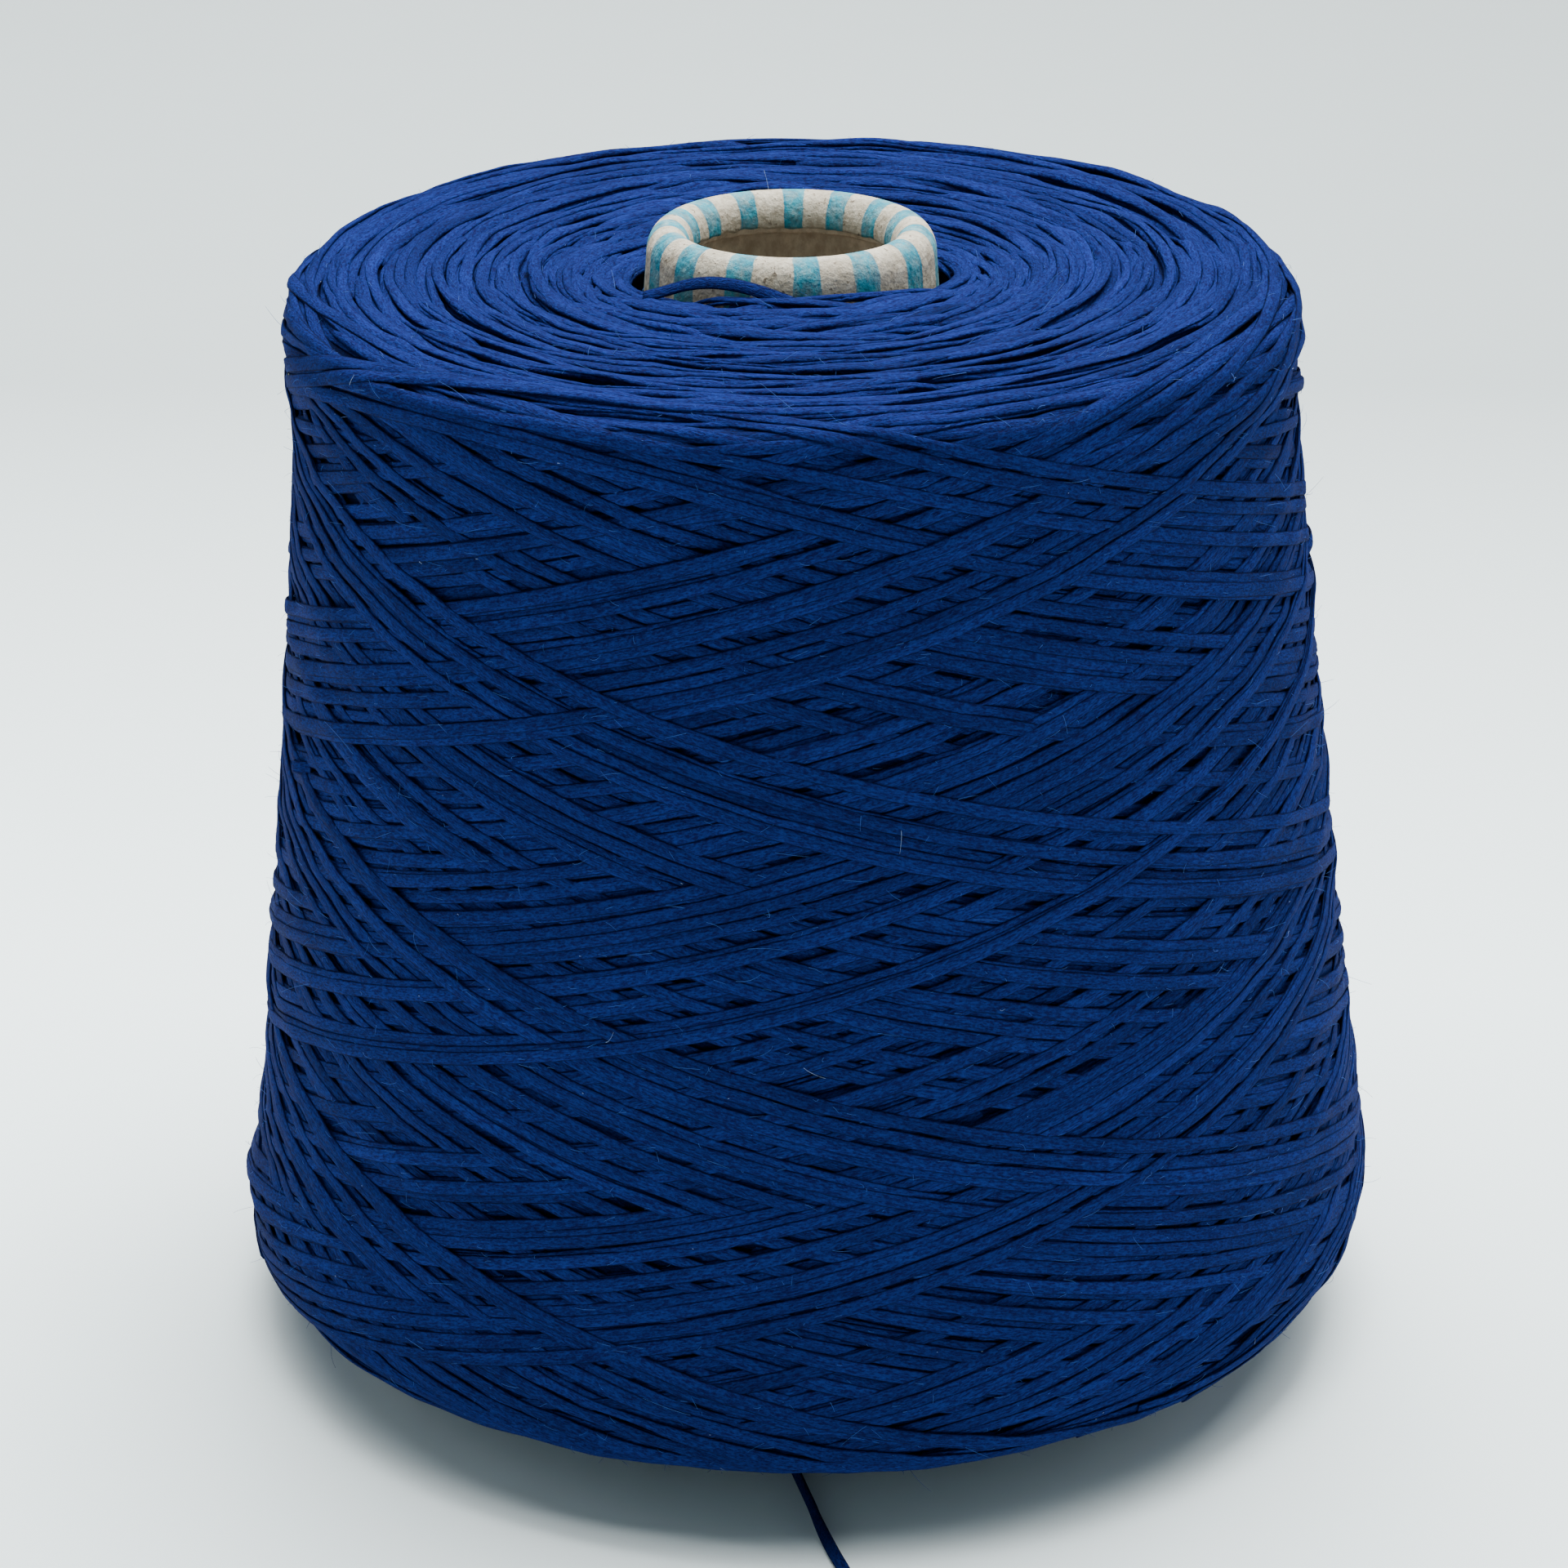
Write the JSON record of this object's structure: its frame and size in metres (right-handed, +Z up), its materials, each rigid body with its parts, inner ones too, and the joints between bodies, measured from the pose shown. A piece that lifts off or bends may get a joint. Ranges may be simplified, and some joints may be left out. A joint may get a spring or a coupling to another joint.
{
  "type": "cone of yarn",
  "caption": "Tapered package of flat cotton tape yarn, cross-wound on a paper cone with a rolled-in striped nose, with its free end lying on the surface.",
  "frame": {"origin": "centre of the cone's foot, on the surface that it stands on", "axes": "+Z up the cone's axis, towards its nose; -Y is the front, where the free end leaves"},
  "size_m": [0.1738, 0.2067, 0.17],
  "materials": {
    "board": "bare grey-brown chipboard, matt",
    "printed_paper": "uncoated off-white paper with turquoise printed stripes, matt",
    "yarn": "royal blue knitted cotton tape, matt with a soft sheen"
  },
  "bodies": {
    "root": {"cone_board": "board", "cone_cover": "printed_paper", "yarn_package": "yarn", "nose_loop": "yarn", "tail_bunch": "yarn", "tail": "yarn", "tail_coil": "yarn"}
  },
  "joints": []
}
